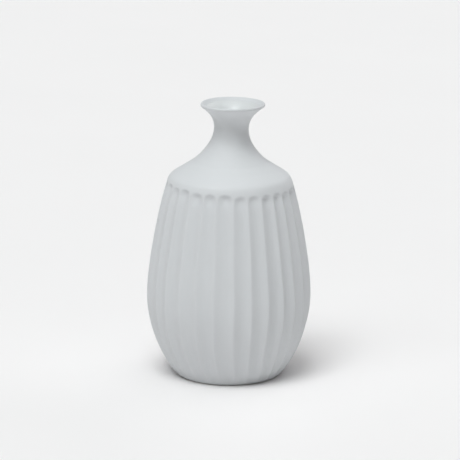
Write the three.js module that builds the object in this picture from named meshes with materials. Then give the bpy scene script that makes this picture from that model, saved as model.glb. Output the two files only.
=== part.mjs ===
// A hand-carved porcelain bud vase: a fluted, bellied body under a rolled shoulder, a narrow neck
// and a flared mouth, all one thrown wall, with a gloss glaze lining that holds the water.
// Millimetres, +Z up. The origin is the middle of the footprint, on the surface the vase stands on.

import * as THREE from "three";

const HEIGHT = 152;

// The outer wall over the tops of the ridges, from foot to lip, as [radius, height].
const FOOT = [28.1, 0];
const BELLY = [45.15, 44.5];
const SHOULDER = [34.0, 109.5];
const COLLAR = [20.8, 119.6];
const NECK = [9.5, 137.9];
const LIP_RADIUS = 17.6;
const LIP_ROUND = 0.8;

// The turned foot: a flat ring around a shallow recess.
const FOOT_RING_WIDTH = 4.4;
const RECESS_DEPTH = 2.6;

// The cavity, from throat to floor, as [radius, height].
const THROAT = [6.9, 139];
const CAVITY_COLLAR = [18.8, 116.6];
const CAVITY_SHOULDER = [30.9, 106.2];
const CAVITY_BELLY = [41.2, BELLY[1]];
const CAVITY_FLOOR = [20, 7.6];

// The carved flutes: a gouge of this radius leaves one channel between two sharp ridges.
const FLUTES = 28;
const GOUGE_RADIUS = 8.8;
const FLUTE_TOP_Z = 107.9;
const FLUTE_TOP_TILT = 1.2;
const FLUTE_END_LENGTH = 4;
const FOOT_FADE_LENGTH = 3;
const FOOT_EXTRA_DEPTH = 0.35;
const FOOT_DRIFT_Z = 30;

// Above this height the neck leans toward +X, as it left the wheel, by this much at the lip.
const NECK_LEAN = 1.55;
const NECK_LEAN_Z = 120;

// The lining: its thickness, its clearance to the wall, and how far below the lip it ends.
const GLAZE_THICKNESS = 0.5;
const GLAZE_CLEARANCE = 0.15;
const GLAZE_END_BELOW_LIP = 1.6;

const SIDES_PER_FLUTE = 3;
const LINING_SIDES = 36;

const DEGREE = Math.PI / 180;
const LIP_SLOPE = 46 * DEGREE;
const UNDER_LIP_SLOPE = 50 * DEGREE;
const LIP_FACE_SLOPE = 20 * DEGREE;
const LIP_FACE_LENGTH = 0.6;

// Points along a cubic curve, without its first point, which the stretch before it already gave.
function bend(from, fromHandle, toHandle, to, steps) {
  const curve = new THREE.CubicBezierCurve(
    new THREE.Vector2(...from),
    new THREE.Vector2(...fromHandle),
    new THREE.Vector2(...toHandle),
    new THREE.Vector2(...to),
  );
  return curve.getPoints(steps).slice(1);
}

// Where the round of the lip ends: +1 on its outer face, -1 on the flare inside.
function lipTangent(side) {
  const slope = side > 0 ? LIP_FACE_SLOPE : LIP_SLOPE;
  return [
    LIP_RADIUS - LIP_ROUND + side * LIP_ROUND * Math.cos(slope),
    HEIGHT - LIP_ROUND - side * LIP_ROUND * Math.sin(slope),
  ];
}

// A point this far down a slope, measured from the upright.
function downSlope([r, z], slope, length) {
  return [r - length * Math.sin(slope), z - length * Math.cos(slope)];
}

// The underside, from the axis to the outer edge of the foot ring.
function undersideOutline() {
  const inner = FOOT[0] - FOOT_RING_WIDTH;
  return [
    new THREE.Vector2(0, RECESS_DEPTH),
    new THREE.Vector2(inner - 2.2, RECESS_DEPTH - 0.3),
    new THREE.Vector2(inner, 0),
    new THREE.Vector2(...FOOT),
  ];
}

// The outer wall, from the edge of the foot up to the round of the lip.
function outerOutline() {
  const lip = lipTangent(1);
  const edge = downSlope(lip, LIP_FACE_SLOPE, LIP_FACE_LENGTH);
  return [
    ...bend(FOOT, [31.2, 0.2], [BELLY[0], 20.9], BELLY, 6),
    ...bend(BELLY, [BELLY[0], 66.9], [35.9, 105.6], SHOULDER, 10),
    ...bend(SHOULDER, [32.4, 112.9], [32.5, 111.9], COLLAR, 5),
    ...bend(COLLAR, [20.0, 120.2], [NECK[0], 128.4], NECK, 5),
    ...bend(NECK, [NECK[0], 145.4], downSlope(edge, UNDER_LIP_SLOPE, 2.6), edge, 4),
    new THREE.Vector2(...lip),
  ];
}

// The round lip, from its outer face over the top to the flare inside.
function lipOutline() {
  const path = new THREE.Path();
  const height = HEIGHT - LIP_ROUND;
  path.absarc(LIP_RADIUS - LIP_ROUND, height, LIP_ROUND, -LIP_FACE_SLOPE, Math.PI - LIP_SLOPE);
  return path.getPoints(3).slice(1);
}

// The inside of the wall, from the lip down to the middle of the floor.
function cavityOutline() {
  const lip = lipTangent(-1);
  return [
    ...bend(lip, downSlope(lip, LIP_SLOPE, 3), [THROAT[0], 147.5], THROAT, 4),
    ...bend(THROAT, [THROAT[0], 130], [12, 121.6], CAVITY_COLLAR, 3),
    ...bend(CAVITY_COLLAR, [27.5, 110.2], [29.7, 110.4], CAVITY_SHOULDER, 3),
    ...bend(CAVITY_SHOULDER, [33.5, 98], [CAVITY_BELLY[0], 66], CAVITY_BELLY, 3),
    ...bend(CAVITY_BELLY, [CAVITY_BELLY[0], 25], [31, CAVITY_FLOOR[1]], CAVITY_FLOOR, 5),
    new THREE.Vector2(0, CAVITY_FLOOR[1]),
  ];
}

// Turn of a point round the vase, in radians from the front (-Y) toward +X. The ridges stand at the
// whole values of `flute`. Their spacing wanders, as it does when it is judged by eye.
function turnOf(flute, z) {
  const round = (2 * Math.PI * flute) / FLUTES;
  const wander = 1.2 * Math.sin(3 * round + 0.94) + 0.35 * Math.sin(11 * round + 1);
  const towardFoot = THREE.MathUtils.clamp(1 - z / FOOT_DRIFT_Z, 0, 1);
  return round + (2.2 + wander + 3 * towardFoot * towardFoot) * DEGREE;
}

// How deep the gouge went: a shallow arc between two ridges, ending in a scoop under the shoulder
// and fading out where the foot was turned smooth.
function fluteDepth(flute, radius, z) {
  const across = 2 * (flute - Math.floor(flute)) - 1;
  const width = (2 * Math.PI * radius) / FLUTES;
  const top = FLUTE_TOP_Z - FLUTE_TOP_TILT * Math.sin(turnOf(flute, z));
  const belowTop = THREE.MathUtils.clamp((top - z) / FLUTE_END_LENGTH, 0, 1);
  const scoop = Math.sqrt(1 - (1 - belowTop) ** 2);
  const foot = THREE.MathUtils.smoothstep(z, 0, FOOT_FADE_LENGTH);
  const extra = 1 + FOOT_EXTRA_DEPTH * (1 - THREE.MathUtils.smoothstep(z, 5, BELLY[1]));
  const deepest = ((width * width) / (8 * GOUGE_RADIUS)) * extra;
  return deepest * (1 - across * across) * scoop * foot;
}

// Turns an outline once round the axis, on the ridges' own spacing, and leans its neck.
// `cut` takes material off the radius at a flute number and an outline point.
function turned(outline, sides, cut) {
  const geometry = new THREE.LatheGeometry(outline, sides);
  const position = geometry.getAttribute("position");
  for (let k = 0; k < position.count; k++) {
    const flute = ((Math.floor(k / outline.length) % sides) * FLUTES) / sides;
    const { x, y: z } = outline[k % outline.length];
    const radius = x - cut(flute, k % outline.length);
    const turn = turnOf(flute, z);
    const lean = NECK_LEAN * Math.max((z - NECK_LEAN_Z) / (HEIGHT - NECK_LEAN_Z), 0) ** 1.25;
    position.setXYZ(k, radius * Math.sin(turn) + lean, -radius * Math.cos(turn), z);
  }
  geometry.computeVertexNormals();
  return geometry;
}

// An outline moved into the cavity by this much, square to itself.
function insetCavity(points, distance) {
  return points.map((point, k) => {
    const before = points[Math.max(k - 1, 0)];
    const after = points[Math.min(k + 1, points.length - 1)];
    const along = after.clone().sub(before).normalize();
    const moved = new THREE.Vector2(point.x + along.y * distance, point.y - along.x * distance);
    return k === points.length - 1 ? new THREE.Vector2(0, point.y + distance) : moved;
  });
}

function bisquePorcelain() {
  return new THREE.MeshStandardMaterial({ color: 0xd3d7d8, roughness: 0.62, metalness: 0 });
}

function clearGloss() {
  return new THREE.MeshStandardMaterial({ color: 0xdbe0e0, roughness: 0.12, metalness: 0 });
}

// The wall: one thrown piece from the foot ring to the lip, carved on the outside of its body.
function vaseWall() {
  const underside = undersideOutline();
  const outer = outerOutline();
  const outline = [...underside, ...outer, ...lipOutline(), ...cavityOutline()];
  const carved = (k) => k >= underside.length && k < underside.length + outer.length;
  const geometry = turned(outline, FLUTES * SIDES_PER_FLUTE, (flute, k) =>
    carved(k) ? fluteDepth(flute, outline[k].x, outline[k].y) : 0,
  );
  const mesh = new THREE.Mesh(geometry, bisquePorcelain());
  mesh.name = "vase_wall";
  return mesh;
}

// The lining: a skin of glaze over the whole cavity, up to just inside the lip.
function glazeLining() {
  const covered = cavityOutline().filter((point) => point.y < HEIGHT - GLAZE_END_BELOW_LIP);
  const back = insetCavity(covered, GLAZE_CLEARANCE);
  const face = insetCavity(covered, GLAZE_CLEARANCE + GLAZE_THICKNESS);
  const outline = [...back.reverse(), ...face];
  const mesh = new THREE.Mesh(turned(outline, LINING_SIDES, () => 0), clearGloss());
  mesh.name = "glaze_lining";
  return mesh;
}

const vase = new THREE.Group();
vase.name = "ceramic_bud_vase";
vase.add(vaseWall(), glazeLining());

export default vase;
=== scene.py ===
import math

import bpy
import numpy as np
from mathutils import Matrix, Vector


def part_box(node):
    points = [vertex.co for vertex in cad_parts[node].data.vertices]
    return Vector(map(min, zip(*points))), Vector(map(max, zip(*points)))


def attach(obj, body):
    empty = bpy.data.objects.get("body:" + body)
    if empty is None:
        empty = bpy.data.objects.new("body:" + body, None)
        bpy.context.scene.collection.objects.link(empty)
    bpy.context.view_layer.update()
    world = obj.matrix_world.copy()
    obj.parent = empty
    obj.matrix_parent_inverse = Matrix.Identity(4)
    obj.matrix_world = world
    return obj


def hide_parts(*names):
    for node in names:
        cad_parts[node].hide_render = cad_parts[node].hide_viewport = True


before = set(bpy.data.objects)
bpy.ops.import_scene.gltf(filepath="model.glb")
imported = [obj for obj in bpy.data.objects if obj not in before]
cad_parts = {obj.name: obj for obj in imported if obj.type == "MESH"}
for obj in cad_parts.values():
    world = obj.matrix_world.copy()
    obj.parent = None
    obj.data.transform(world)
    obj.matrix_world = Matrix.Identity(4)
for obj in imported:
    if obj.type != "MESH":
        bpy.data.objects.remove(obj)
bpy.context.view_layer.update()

# The looks of a hand-carved porcelain bud vase: the fine carved wall, its glaze lining, their
# procedural materials, and the floor, lights and camera of a plain studio.
# Shapes are in the vase's own millimetres, as (radius, height), and MM turns them into the
# frame's metres. Slopes are in radians from the upright.

wall_low, wall_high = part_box("vase_wall")

HEIGHT = 152
MM = (wall_high.z - wall_low.z) / HEIGHT
BASE_Z = wall_low.z


# ---------------------------------------------------------------- measures of the outlines

# The outer wall over the tops of the ridges, from foot to neck.
FOOT = (28.1, 0)
BELLY = (45.15, 44.5)
SHOULDER = (34.0, 109.5)
COLLAR = (20.8, 119.6)
NECK = (9.5, 137.9)
# Each curve's start, the start's handle, the end's handle, and its end.
OUTER_CURVES = (
    (FOOT, (31.2, 0.2), (BELLY[0], 20.9), BELLY),
    (BELLY, (BELLY[0], 66.9), (35.9, 105.6), SHOULDER),
    (SHOULDER, (32.4, 112.9), (32.5, 111.9), COLLAR),
    (COLLAR, (20.0, 120.2), (NECK[0], 128.4), NECK),
)
# The underside of the flare, from the neck to the lip's face: the handle at the neck, and the
# length of the one at the lip, which follows the slope there.
FLARE_NECK_HANDLE = (NECK[0], 145.4)
FLARE_LIP_HANDLE = 2.6
UNDER_LIP_SLOPE = math.radians(50)

# The lip: its outermost radius, its round top, and the blunt face below, with an eased edge.
LIP_RADIUS = 17.6
LIP_ROUND = 0.8
LIP_FACE_SLOPE = math.radians(20)
LIP_FACE_LENGTH = 0.6
LIP_EDGE_EASE = 0.25

# The mouth, from the lip's inner side to the throat, with its handles as above.
THROAT = (6.9, 139)
LIP_SLOPE = math.radians(46)
MOUTH_LIP_HANDLE = 3
MOUTH_THROAT_HANDLE = (THROAT[0], 147.5)

# The cavity, from the throat down to the floor.
CAVITY_COLLAR = (18.8, 116.6)
CAVITY_SHOULDER = (30.9, 106.2)
CAVITY_BELLY = (41.2, BELLY[1])
CAVITY_FLOOR = (20, 7.6)
CAVITY_CURVES = (
    (THROAT, (THROAT[0], 130), (12, 121.6), CAVITY_COLLAR),
    (CAVITY_COLLAR, (27.5, 110.2), (29.7, 110.4), CAVITY_SHOULDER),
    (CAVITY_SHOULDER, (33.5, 98), (CAVITY_BELLY[0], 66), CAVITY_BELLY),
    (CAVITY_BELLY, (CAVITY_BELLY[0], 25), (31, CAVITY_FLOOR[1]), CAVITY_FLOOR),
)

# The turned foot: a flat ring around a shallow recess, with a soft step between them. The
# points are (distance outward from the ring's inner or outer edge, height).
FOOT_RING_WIDTH = 4.4
RECESS_DEPTH = 2.6
STEP_WIDTH = 2.6
STEP_CURVE = ((-1.2, RECESS_DEPTH), (-0.5, 0.5), (0, 0.12))
RING_AT_INNER_EDGE = ((0.15, 0.02), (0.4, 0))
RING_AT_OUTER_EDGE = ((-1.2, 0), (-0.4, 0))
# Rings left in the recess by trimming: where they start, how far apart their rows of points
# are, how deep and how long a wave is, and the radius at which it is at its full depth.
TRIMMING_START = 0.5
TRIMMING_ROWS = 0.7
TRIMMING_DEPTH = 0.07
TRIMMING_WAVE = 2.8
TRIMMING_FULL_RADIUS = 4

# The lining's thickness, at its edge too, its clearance to the wall, how far below the lip it
# ends, and where along it the thickening starts and stops.
GLAZE_THICKNESS = 0.5
GLAZE_EDGE_THICKNESS = 0.06
GLAZE_CLEARANCE = 0.05
GLAZE_END_BELOW_LIP = 1.6
GLAZE_TAPER = (-0.5, 5)

# The neck leans toward +X, by this much at the lip, from this height up.
NECK_LEAN = 1.55
NECK_LEAN_Z = 120
NECK_LEAN_POWER = 1.25


# ---------------------------------------------------------------- measures of the handwork

# The flutes: how many, and the curve of the gouge that cut them. The ridges between them are
# softened over this width.
FLUTES = 28
GOUGE_RADIUS = 8.8
RIDGE_SOFTNESS = 0.75
# Their tops: the height, how far its line tilts, how far the middle of a top stands above its
# sides, and the length and steepness of the fade.
FLUTE_TOP_Z = 107.9
FLUTE_TOP_TILT = 1.2
FLUTE_END_ARCH = 1.9
FLUTE_END_LENGTH = 3.4
FLUTE_END_POWER = 2.4
# The scoop where the gouge went in: its extra depth as a share, its place and its length.
FLUTE_ENTRY_DEPTH = 0.75
FLUTE_ENTRY_BELOW = 3
FLUTE_ENTRY_LENGTH = 3.4
# The depth of a flute varies along it by this share.
DEPTH_WAVE_SHARE = 0.07
DEPTH_WAVE_LENGTH = 9
# At the foot they fade in over this length, and are deeper by this share, up to the belly.
FOOT_FADE_LENGTH = 3
FOOT_EXTRA_DEPTH = 0.35
FOOT_EXTRA_FROM_Z = 5

# Where the ridges stand, in degrees: the turn of them all, the drift at the foot, and waves
# round the vase as (size, times round, phase). Their sway ends between these heights.
RIDGES_TURN = 2.2
FOOT_DRIFT = 3
FOOT_DRIFT_Z = 30
RIDGE_WANDER = ((1.2, 3, 0.94), (0.35, 11, 1))
SWAY_END = (100, 112)

# What differs from one flute to the next is drawn between these limits.
SEED = 11
SWAY_SIZES = (0.12, 0.4)
SWAY_LENGTHS = (38, 75)
FLUTE_DEPTHS = (0.88, 1.12)
FLUTE_TOPS = (-0.45, 0.45)

# The wall isn't quite round, and the neck has rings from throwing. Each fades in between the
# first two heights and out between the last two.
OUT_OF_ROUND = ((0.1, 2, 0.8),)
OUT_OF_ROUND_IN = (4, 30)
OUT_OF_ROUND_OUT = (90, 110)
THROWING_DEPTH = 0.03
THROWING_PITCH = 2.7
THROWING_IN = (110, 114)
THROWING_OUT = (147, 151)

# The lip was cut by hand and isn't quite level, from this height up.
LIP_WAVER = ((0.1, 2, 0.6), (0.05, 3, 2))
LIP_WAVER_Z = 140


# ---------------------------------------------------------------- fineness of the meshes

CURVE_STEPS = 80
EDGE_STEPS = 12
STEP_STEPS = 8
# The columns between two ridges, closest where the surface turns.
COLUMNS = (0, 0.035, 0.08, 0.15, 0.25, 0.37, 0.5, 0.63, 0.75, 0.85, 0.92, 0.965)
LINING_COLUMNS = 196
# How far apart the rows are: heights, and the spacing at each.
OUTER_ROWS = (
    (0, 3, 7, 97, 102, 111, 116, 130, 147, 149, 152),
    (0.45, 0.6, 1.9, 2.0, 0.45, 0.45, 0.9, 1.0, 0.9, 0.25, 0.25),
)
CAVITY_ROWS = ((0, 128, 138, 146, 152), (7, 5, 1.4, 0.5, 0.4))
LINING_ROWS = ((0, 20, 110, 132, 142, 152), (2.5, 3, 2.5, 1.5, 0.5, 0.4))


# ---------------------------------------------------------------- outlines

def bend(start, start_handle, end_handle, end, steps=CURVE_STEPS):
    """Points along a cubic curve, without its first."""
    t = np.linspace(0, 1, steps + 1)[1:, None]
    a, b, c, d = (np.array(p, float) for p in (start, start_handle, end_handle, end))
    return (
        (1 - t) ** 3 * a + 3 * t * (1 - t) ** 2 * b + 3 * t * t * (1 - t) * c + t ** 3 * d
    )


def lip_tangent(side):
    """Where the round of the lip ends: +1 on its outer face, -1 on the flare inside."""
    slope = LIP_FACE_SLOPE if side > 0 else LIP_SLOPE
    return (
        LIP_RADIUS - LIP_ROUND + side * LIP_ROUND * math.cos(slope),
        HEIGHT - LIP_ROUND - side * LIP_ROUND * math.sin(slope),
    )


def down_slope(point, slope, length):
    """The point this far down and inward along a slope."""
    return (point[0] - length * math.sin(slope), point[1] - length * math.cos(slope))


def outer_outline():
    lip = lip_tangent(1)
    edge = down_slope(lip, LIP_FACE_SLOPE, LIP_FACE_LENGTH)
    below = down_slope(edge, UNDER_LIP_SLOPE, LIP_EDGE_EASE)
    above = down_slope(edge, LIP_FACE_SLOPE, -LIP_EDGE_EASE)
    lip_handle = down_slope(edge, UNDER_LIP_SLOPE, FLARE_LIP_HANDLE)
    return np.vstack([
        [FOOT],
        *(bend(*curve) for curve in OUTER_CURVES),
        bend(NECK, FLARE_NECK_HANDLE, lip_handle, below),
        bend(below, edge, edge, above, EDGE_STEPS),
        [lip],
    ])


def lip_outline():
    turn = np.linspace(-LIP_FACE_SLOPE, math.pi - LIP_SLOPE, EDGE_STEPS + 1)[1:-1]
    centre = np.array([LIP_RADIUS - LIP_ROUND, HEIGHT - LIP_ROUND])
    return centre + LIP_ROUND * np.stack([np.cos(turn), np.sin(turn)], 1)


def cavity_outline():
    lip = lip_tangent(-1)
    lip_handle = down_slope(lip, LIP_SLOPE, MOUTH_LIP_HANDLE)
    return np.vstack([
        [lip],
        bend(lip, lip_handle, MOUTH_THROAT_HANDLE, THROAT),
        *(bend(*curve) for curve in CAVITY_CURVES),
    ])


def underside_outline():
    """From near the axis to the foot's outer edge: trimming rings, a soft step, the ring."""
    inner, outer = FOOT[0] - FOOT_RING_WIDTH, FOOT[0]
    radius = np.arange(TRIMMING_START, inner - STEP_WIDTH, TRIMMING_ROWS)
    rings = TRIMMING_DEPTH * np.cos(2 * np.pi * radius / TRIMMING_WAVE)
    rings = rings * np.minimum(radius / TRIMMING_FULL_RADIUS, 1)
    recess = np.stack([radius, RECESS_DEPTH + rings], 1)
    step = bend(recess[-1], *((inner + x, z) for x, z in STEP_CURVE), STEP_STEPS)
    ring = [(inner + x, z) for x, z in RING_AT_INNER_EDGE]
    ring += [(outer + x, z) for x, z in RING_AT_OUTER_EDGE]
    return np.vstack([recess, step, ring])


def spaced(points, heights, spacings):
    """The same outline, with points about as far apart as `spacings` says at each height."""
    step = np.linalg.norm(np.diff(points, axis=0), axis=1)
    middle = (points[1:, 1] + points[:-1, 1]) / 2
    count = np.concatenate([[0], np.cumsum(step / np.interp(middle, heights, spacings))])
    wanted = np.linspace(0, count[-1], int(round(count[-1])) + 1)
    return np.stack([np.interp(wanted, count, points[:, k]) for k in (0, 1)], 1)


def inset(points, distances):
    """An outline of the cavity moved off the wall by this much, square to itself."""
    along = np.gradient(points, axis=0)
    along /= np.linalg.norm(along, axis=1)[:, None]
    distances = np.broadcast_to(distances, len(points))[:, None]
    return points + np.stack([along[:, 1], -along[:, 0]], 1) * distances


# ---------------------------------------------------------------- the handwork

random = np.random.RandomState(SEED)
ridge_sway = random.uniform(*SWAY_SIZES, FLUTES)
ridge_wave = random.uniform(*SWAY_LENGTHS, FLUTES)
ridge_phase = random.uniform(0, 2 * np.pi, FLUTES)
flute_depth = random.uniform(*FLUTE_DEPTHS, FLUTES)
flute_top = random.uniform(*FLUTE_TOPS, FLUTES)
flute_wave = random.uniform(0, 2 * np.pi, FLUTES)


def smooth(x, low, high):
    """0 below `low`, 1 above `high`, and a soft rise between."""
    t = np.clip((x - low) / (high - low), 0, 1)
    return t * t * (3 - 2 * t)


def waves(angle, terms):
    """The sum of waves round the vase, each (size, times round, phase)."""
    return sum(size * np.sin(times * angle + phase) for size, times, phase in terms)


def flute_of(flute):
    """The flute's number, and how far across it this is. A flute starts at its ridge."""
    before = np.floor(flute)
    return before.astype(int) % FLUTES, flute - before


def ridge_drift(ridge, z):
    angle = 2 * np.pi * z / ridge_wave[ridge] + ridge_phase[ridge]
    return ridge_sway[ridge] * np.sin(angle)


def turn_of(flute, z):
    """Radians from the front (-Y) toward +X. Ridges stand at the whole values of `flute`."""
    even = 2 * np.pi * flute / FLUTES
    here, part = flute_of(flute)
    after = (here + 1) % FLUTES
    sway = (1 - part) * ridge_drift(here, z) + part * ridge_drift(after, z)
    sway = sway * (1 - smooth(z, *SWAY_END))
    drift = FOOT_DRIFT * np.clip(1 - z / FOOT_DRIFT_Z, 0, 1) ** 2
    return even + np.radians(RIDGES_TURN + waves(even, RIDGE_WANDER) + drift + sway)


def carved_depth(flute, radius, z):
    """How far the gouge went in, and the same as a share of the deepest cut."""
    here, part = flute_of(flute)
    width = 2 * np.pi * radius / FLUTES
    reach = np.sqrt((width * np.minimum(part, 1 - part)) ** 2 + RIDGE_SOFTNESS ** 2)
    middle = np.sqrt((width / 2) ** 2 + RIDGE_SOFTNESS ** 2)
    across = 1 - (reach - RIDGE_SOFTNESS) / (middle - RIDGE_SOFTNESS)

    top = FLUTE_TOP_Z - FLUTE_TOP_TILT * np.sin(2 * np.pi * flute / FLUTES) + flute_top[here]
    top = top - FLUTE_END_ARCH * (1 - np.sqrt(np.maximum(1 - across ** 2, 0)))
    below = np.clip((top - z) / FLUTE_END_LENGTH, 0, 1)
    fade = 1 - (1 - below) ** FLUTE_END_POWER
    entry = np.exp(-(((top - z - FLUTE_ENTRY_BELOW) / FLUTE_ENTRY_LENGTH) ** 2))

    full = width ** 2 / (8 * GOUGE_RADIUS) * flute_depth[here]
    full = full * (1 + DEPTH_WAVE_SHARE * np.sin(z / DEPTH_WAVE_LENGTH + flute_wave[here]))
    full = full * (1 + FLUTE_ENTRY_DEPTH * entry)
    near_foot = 1 - smooth(z, FOOT_EXTRA_FROM_Z, BELLY[1])
    full = full * (1 + FOOT_EXTRA_DEPTH * near_foot)
    share = (1 - across ** 2) * fade * smooth(z, 0, FOOT_FADE_LENGTH)
    return full * share, share


def wall_cut(flute, radius, z):
    """All that is taken off the outer wall, and the share of the gouge's deepest cut."""
    depth, share = carved_depth(flute, radius, z)
    angle = 2 * np.pi * flute / FLUTES
    in_neck = smooth(z, *THROWING_IN) * (1 - smooth(z, *THROWING_OUT))
    rings = THROWING_DEPTH * in_neck * np.sin(2 * np.pi * z / THROWING_PITCH + angle)
    out_of_round = waves(angle, OUT_OF_ROUND) * smooth(z, *OUT_OF_ROUND_IN)
    out_of_round = out_of_round * (1 - smooth(z, *OUT_OF_ROUND_OUT))
    return depth + rings + out_of_round, share


def lip_lift(turn, z):
    return smooth(z, LIP_WAVER_Z, HEIGHT) * waves(turn, LIP_WAVER)


def lean_of(z):
    above = np.maximum((z - NECK_LEAN_Z) / (HEIGHT - NECK_LEAN_Z), 0)
    return NECK_LEAN * above ** NECK_LEAN_POWER


# ---------------------------------------------------------------- meshes

def turned_mesh(name, outline, columns, start_cap, end_cap, is_cut=None):
    """Turns an outline once round the leaning axis into one closed mesh.

    The rows of the outline that `is_cut` marks are carved. The ends are closed on the axis at
    the heights `start_cap` and `end_cap`. The attribute "carve" holds the share of the cut.
    """
    flute, z = np.meshgrid(columns, outline[:, 1])
    radius = np.broadcast_to(outline[:, :1], flute.shape).copy()
    share = np.zeros(flute.shape)
    if is_cut is not None:
        depth, share = wall_cut(flute, radius, z)
        radius -= depth * is_cut[:, None]
        share = share * is_cut[:, None]
    turn = turn_of(flute, z)
    z = z + lip_lift(turn, z)
    ring = np.stack([radius * np.sin(turn) + lean_of(z), -radius * np.cos(turn), z], 2)
    points = np.vstack([ring.reshape(-1, 3), [[0, 0, start_cap], [0, 0, end_cap]]])
    points = points * MM + np.array([0, 0, BASE_Z])

    index = np.arange(flute.size).reshape(flute.shape)
    beside = np.roll(index, -1, axis=1)
    quads = np.stack([index[:-1], beside[:-1], beside[1:], index[1:]], 2).reshape(-1, 4)
    start, end = flute.size, flute.size + 1
    fans = [(start, b, a) for a, b in zip(index[0].tolist(), beside[0].tolist())]
    fans += [(end, a, b) for a, b in zip(index[-1].tolist(), beside[-1].tolist())]
    mesh = bpy.data.meshes.new(name)
    mesh.from_pydata(points.tolist(), [], quads.tolist() + fans)
    mesh.validate()
    mesh.polygons.foreach_set("use_smooth", np.ones(len(mesh.polygons), bool))
    carve = mesh.attributes.new("carve", "FLOAT", "POINT")
    carve.data.foreach_set("value", np.append(share.ravel(), [0, 0]).astype(np.float32))
    return linked(name, mesh)


def linked(name, data):
    """A new object with this data, in the scene."""
    made = bpy.data.objects.new(name, data)
    bpy.context.scene.collection.objects.link(made)
    return made


def carved_wall():
    under = underside_outline()
    outer = spaced(outer_outline(), *OUTER_ROWS)
    cavity = spaced(cavity_outline(), *CAVITY_ROWS)
    outline = np.vstack([under, outer, lip_outline(), cavity])
    is_outer = np.zeros(len(outline), bool)
    is_outer[len(under):len(under) + len(outer)] = True
    columns = (np.arange(FLUTES)[:, None] + np.array(COLUMNS)).ravel()
    return turned_mesh(
        "porcelain_wall", outline, columns, RECESS_DEPTH, CAVITY_FLOOR[1], is_outer
    )


def glaze_lining():
    covered = spaced(cavity_outline(), *LINING_ROWS)
    covered = covered[covered[:, 1] < HEIGHT - GLAZE_END_BELOW_LIP]
    steps = np.linalg.norm(np.diff(covered, axis=0), axis=1)
    below_edge = np.concatenate([[0], np.cumsum(steps)])
    grown = np.sqrt(smooth(below_edge, *GLAZE_TAPER))
    thickness = GLAZE_EDGE_THICKNESS + (GLAZE_THICKNESS - GLAZE_EDGE_THICKNESS) * grown
    back = inset(covered, GLAZE_CLEARANCE)
    face = inset(covered, GLAZE_CLEARANCE + thickness)
    columns = np.arange(LINING_COLUMNS) * FLUTES / LINING_COLUMNS
    floor_z = CAVITY_FLOOR[1]
    return turned_mesh(
        "gloss_glaze_lining",
        np.vstack([back[::-1], face]),
        columns,
        floor_z + GLAZE_CLEARANCE,
        floor_z + GLAZE_CLEARANCE + GLAZE_THICKNESS,
    )


# ---------------------------------------------------------------- materials

# Colours are linear, and a noise mixes the two of a pair. Scales of noises are in features a
# metre, and a stretch below 1 draws them out along that axis.
PORCELAIN = ((0.655, 0.673, 0.688, 1), (0.688, 0.704, 0.715, 1))
PORCELAIN_CLOUD = (0.670, 0.688, 0.712, 1)
# Painted shade: a darker colour for the flute valleys, standing in for the shade that falls in
# them.
PORCELAIN_VALLEY_SHADE = (0.647, 0.665, 0.680, 1)
PORCELAIN_FOOT = (0.60, 0.585, 0.545, 1)
CLOUD_SHARE = 0.35
# How much of the painted valley shade goes in at the deepest part of a flute.
VALLEY_SHADE_SHARE = 0.3
# The bare rim of the foot starts at the first height, and is full at the second.
FOOT_RIM = (0.7, 0.1)
MOTTLE_SCALE = 28
CLOUD_SCALE = 9

# The relief of the porcelain: fine grain, a coarser tooth, streaks of the gouge in the flutes,
# and rings of the wheel above the flutes, which fade in between these heights.
GRAIN_SCALE, GRAIN_WEIGHT = 2600, 0.35
TOOTH_SCALE, TOOTH_WEIGHT = 700, 0.5
STREAK_SCALE, STREAK_WEIGHT, STREAK_STRETCH = 650, 1.6, (1, 1, 0.06)
RING_SCALE, RING_WEIGHT, RING_STRETCH = 800, 0.6, (0.03, 0.03, 1)
RINGS_IN = (104, 112)
PORCELAIN_BUMP = {"Strength": 0.35, "Distance": 0.00012}
PORCELAIN_ROUGHNESS = 0.53
MOTTLE_ROUGHNESS = 0.10
FOOT_ROUGHNESS = 0.22

GLAZE = ((0.676, 0.700, 0.706, 1), (0.700, 0.722, 0.727, 1))
POOL_SCALE = 40
RIPPLE_SCALE = 320
GLAZE_BUMP = {"Strength": 0.12, "Distance": 0.0002}
GLAZE_ROUGHNESS = 0.28
POOL_ROUGHNESS = 0.08

FLOOR = ((0.885, 0.87, 0.87, 1), (0.905, 0.89, 0.89, 1))
FLOOR_CLOUD_SCALE = 6
FLOOR_ROUGHNESS = 0.8

NOISE_ROUGHNESS = 0.55
CERAMIC_IOR = 1.5


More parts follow.
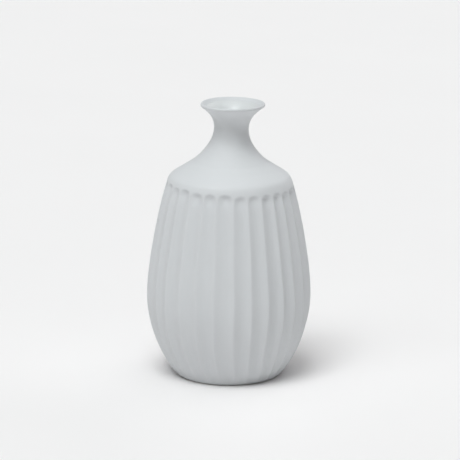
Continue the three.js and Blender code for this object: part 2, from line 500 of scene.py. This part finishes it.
class Nodes:
    """Short ways to add and join shader nodes."""

    def __init__(self, tree):
        self.tree = tree
        self.tree.nodes.clear()

    def add(self, kind, inputs=None, **settings):
        node = self.tree.nodes.new(kind)
        for key, value in settings.items():
            setattr(node, key, value)
        for key, value in (inputs or {}).items():
            if isinstance(value, bpy.types.NodeSocket):
                self.tree.links.new(value, node.inputs[key])
            else:
                node.inputs[key].default_value = value
        return node

    def place(self, kind="Object"):
        return self.add("ShaderNodeTexCoord").outputs[kind]

    def height(self, place):
        return self.add("ShaderNodeSeparateXYZ", {0: place}).outputs[2]

    def multiply(self, a, b):
        return self.add("ShaderNodeMath", {0: a, 1: b}, operation="MULTIPLY").outputs[0]

    def sum(self, first, *others):
        for other in others:
            added = self.add("ShaderNodeMath", {0: first, 1: other}, operation="ADD")
            first = added.outputs[0]
        return first

    def noise(self, place, scale, detail, stretch=(1, 1, 1)):
        """Noise from 0 to 1."""
        moved = self.add("ShaderNodeMapping", {"Vector": place, "Scale": stretch})
        return self.add("ShaderNodeTexNoise", {
            "Vector": moved.outputs[0],
            "Scale": scale,
            "Detail": detail,
            "Roughness": NOISE_ROUGHNESS,
        }).outputs["Fac"]

    def fade(self, value, low, high, to_low=0.0, to_high=1.0):
        return self.add(
            "ShaderNodeMapRange",
            {0: value, 1: low, 2: high, 3: to_low, 4: to_high},
            interpolation_type="SMOOTHSTEP",
        ).outputs[0]

    def mix_colour(self, share, a, b):
        inputs = {0: share, 6: a, 7: b}
        return self.add("ShaderNodeMix", inputs, data_type="RGBA").outputs[2]

    def bump(self, relief, settings):
        return self.add("ShaderNodeBump", {**settings, "Height": relief}).outputs[0]

    def shader(self, inputs):
        return self.add("ShaderNodeBsdfPrincipled", inputs).outputs[0]


def material(name, shader_of):
    """A material with the shader that `shader_of` makes in its node tree."""
    made = bpy.data.materials.new(name)
    made.use_nodes = True
    n = Nodes(made.node_tree)
    n.add("ShaderNodeOutputMaterial", {"Surface": shader_of(n)})
    return made


def porcelain_shader(n):
    place = n.place()
    height = n.height(place)
    carve = n.add("ShaderNodeAttribute", attribute_name="carve").outputs["Fac"]

    mottle = n.noise(place, MOTTLE_SCALE, detail=4)
    cloud = n.noise(place, CLOUD_SCALE, detail=2)
    foot_from, foot_to = (BASE_Z + z * MM for z in FOOT_RIM)
    foot = n.fade(height, foot_from, foot_to)
    body = n.mix_colour(mottle, *PORCELAIN)
    body = n.mix_colour(n.multiply(cloud, CLOUD_SHARE), body, PORCELAIN_CLOUD)
    # Painted shade: the valleys darken with the depth of the cut, in place of the shade that
    # falls in them.
    body = n.mix_colour(n.multiply(carve, VALLEY_SHADE_SHARE), body, PORCELAIN_VALLEY_SHADE)
    body = n.mix_colour(foot, body, PORCELAIN_FOOT)

    rings_from, rings_to = (BASE_Z + z * MM for z in RINGS_IN)
    uncarved = n.fade(height, rings_from, rings_to)
    grain = n.noise(place, GRAIN_SCALE, detail=4)
    tooth = n.noise(place, TOOTH_SCALE, detail=3)
    streaks = n.noise(place, STREAK_SCALE, detail=3, stretch=STREAK_STRETCH)
    rings = n.noise(place, RING_SCALE, detail=2, stretch=RING_STRETCH)
    relief = n.sum(
        n.multiply(grain, GRAIN_WEIGHT),
        n.multiply(tooth, TOOTH_WEIGHT),
        n.multiply(n.multiply(streaks, carve), STREAK_WEIGHT),
        n.multiply(n.multiply(rings, uncarved), RING_WEIGHT),
    )
    return n.shader({
        "Base Color": body,
        "Roughness": n.sum(
            n.multiply(mottle, MOTTLE_ROUGHNESS),
            PORCELAIN_ROUGHNESS,
            n.multiply(foot, FOOT_ROUGHNESS),
        ),
        "Normal": n.bump(relief, PORCELAIN_BUMP),
        "Specular IOR Level": 0.4,
        "IOR": CERAMIC_IOR,
    })


def glaze_shader(n):
    place = n.place()
    pool = n.noise(place, POOL_SCALE, detail=3)
    ripple = n.noise(place, RIPPLE_SCALE, detail=2)
    return n.shader({
        "Base Color": n.mix_colour(pool, *GLAZE),
        "Roughness": n.sum(n.multiply(pool, POOL_ROUGHNESS), GLAZE_ROUGHNESS),
        "Normal": n.bump(ripple, GLAZE_BUMP),
        "IOR": CERAMIC_IOR,
    })


def floor_shader(n):
    cloud = n.noise(n.place(), FLOOR_CLOUD_SCALE, detail=2)
    return n.shader({
        "Base Color": n.mix_colour(cloud, *FLOOR),
        "Roughness": FLOOR_ROUGHNESS,
        "Specular IOR Level": 0.2,
    })


# ---------------------------------------------------------------- studio

FLOOR_SIZE = 60
FLOOR_GAP = 0.00005

# Soft lights too far off to fade across the floor, as
# name: (azimuth from the front toward +X, elevation, width across in degrees, strength, tint)
COOL = (0.975, 1, 1)
WARM = (1, 0.97, 0.985)
SUNS = {
    "key": (-22, 65, 30, 1.5, COOL),
    "top": (0, 88, 60, 1.08, COOL),
    "left_fill": (-45, 50, 30, 0.36, COOL),
    "right_fill": (30, 40, 50, 0.1, COOL),
    "right_rim": (140, 20, 60, 0.6, WARM),
    "left_rim": (-140, 20, 60, 0.2, WARM),
}
SUN_DISTANCE = 2

# The sky's strength at the horizon and overhead, and the band between, as the sine of its
# elevation. At the horizon it is about as bright as the floor.
SKY_HORIZON = 0.865
SKY_ZENITH = 0.05
SKY_BAND = (0.03, 0.09)

CAMERA_ELEVATION = 14
CAMERA_DISTANCE = 1.651
CAMERA_ROLL = 0.42
CAMERA_CLIP = (0.05, 200)
SENSOR_WIDTH = 36
# The width of what the camera frames at the target, and the target: across, and as a share of
# the vase's height.
FRAME_WIDTH = 0.2531
TARGET_X = 0.0004
TARGET_HEIGHT_SHARE = 0.5307


def floor():
    half = FLOOR_SIZE / 2
    z = BASE_Z - FLOOR_GAP
    mesh = bpy.data.meshes.new("floor")
    corners = [(-half, -half, z), (half, -half, z), (half, half, z), (-half, half, z)]
    mesh.from_pydata(corners, [], [(0, 1, 2, 3)])
    mesh.materials.append(material("pale_floor", floor_shader))
    made = linked("floor", mesh)


def aim(thing, target, azimuth, elevation, distance):
    """Puts a lamp or the camera this far from a target, facing it."""
    a, e = math.radians(azimuth), math.radians(elevation)
    back = Vector((math.sin(a) * math.cos(e), -math.cos(a) * math.cos(e), math.sin(e)))
    thing.location = target + back * distance
    thing.rotation_mode = "QUATERNION"
    thing.rotation_quaternion = (thing.location - target).to_track_quat("Z", "Y")


def suns():
    for name, (azimuth, elevation, width, strength, tint) in SUNS.items():
        lamp = bpy.data.lights.new(name, "SUN")
        lamp.angle = math.radians(width)
        lamp.energy = strength
        lamp.color = tint
        aim(linked(name, lamp), Vector((0, 0, 0)), azimuth, elevation, SUN_DISTANCE)


def sky():
    world = bpy.data.worlds.new("sky")
    bpy.context.scene.world = world
    world.use_nodes = True
    n = Nodes(world.node_tree)
    up = n.height(n.place("Generated"))
    strength = n.fade(up, *SKY_BAND, SKY_HORIZON, SKY_ZENITH)
    light = n.add("ShaderNodeBackground", {"Color": (1, 1, 1, 1), "Strength": strength})
    n.add("ShaderNodeOutputWorld", {"Surface": light.outputs[0]})


def camera():
    height = wall_high.z - wall_low.z
    target = Vector((TARGET_X, 0, BASE_Z + TARGET_HEIGHT_SHARE * height))
    data = bpy.data.cameras.new("camera")
    data.sensor_width = SENSOR_WIDTH
    data.lens = data.sensor_width * CAMERA_DISTANCE / FRAME_WIDTH
    data.clip_start, data.clip_end = CAMERA_CLIP
    made = linked("camera", data)
    aim(made, target, 0, CAMERA_ELEVATION, CAMERA_DISTANCE)
    roll = Matrix.Rotation(math.radians(CAMERA_ROLL), 4, "Z").to_quaternion()
    made.rotation_quaternion = made.rotation_quaternion @ roll
    bpy.context.scene.camera = made


# ---------------------------------------------------------------- the vase

bpy.context.scene.view_settings.view_transform = "Standard"

wall = carved_wall()
wall.data.materials.append(material("bisque_porcelain", porcelain_shader))
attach(wall, "root")
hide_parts("vase_wall")

lining = glaze_lining()
lining.data.materials.append(material("clear_glaze", glaze_shader))
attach(lining, "root")
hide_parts("glaze_lining")

floor()
camera()
suns()
sky()
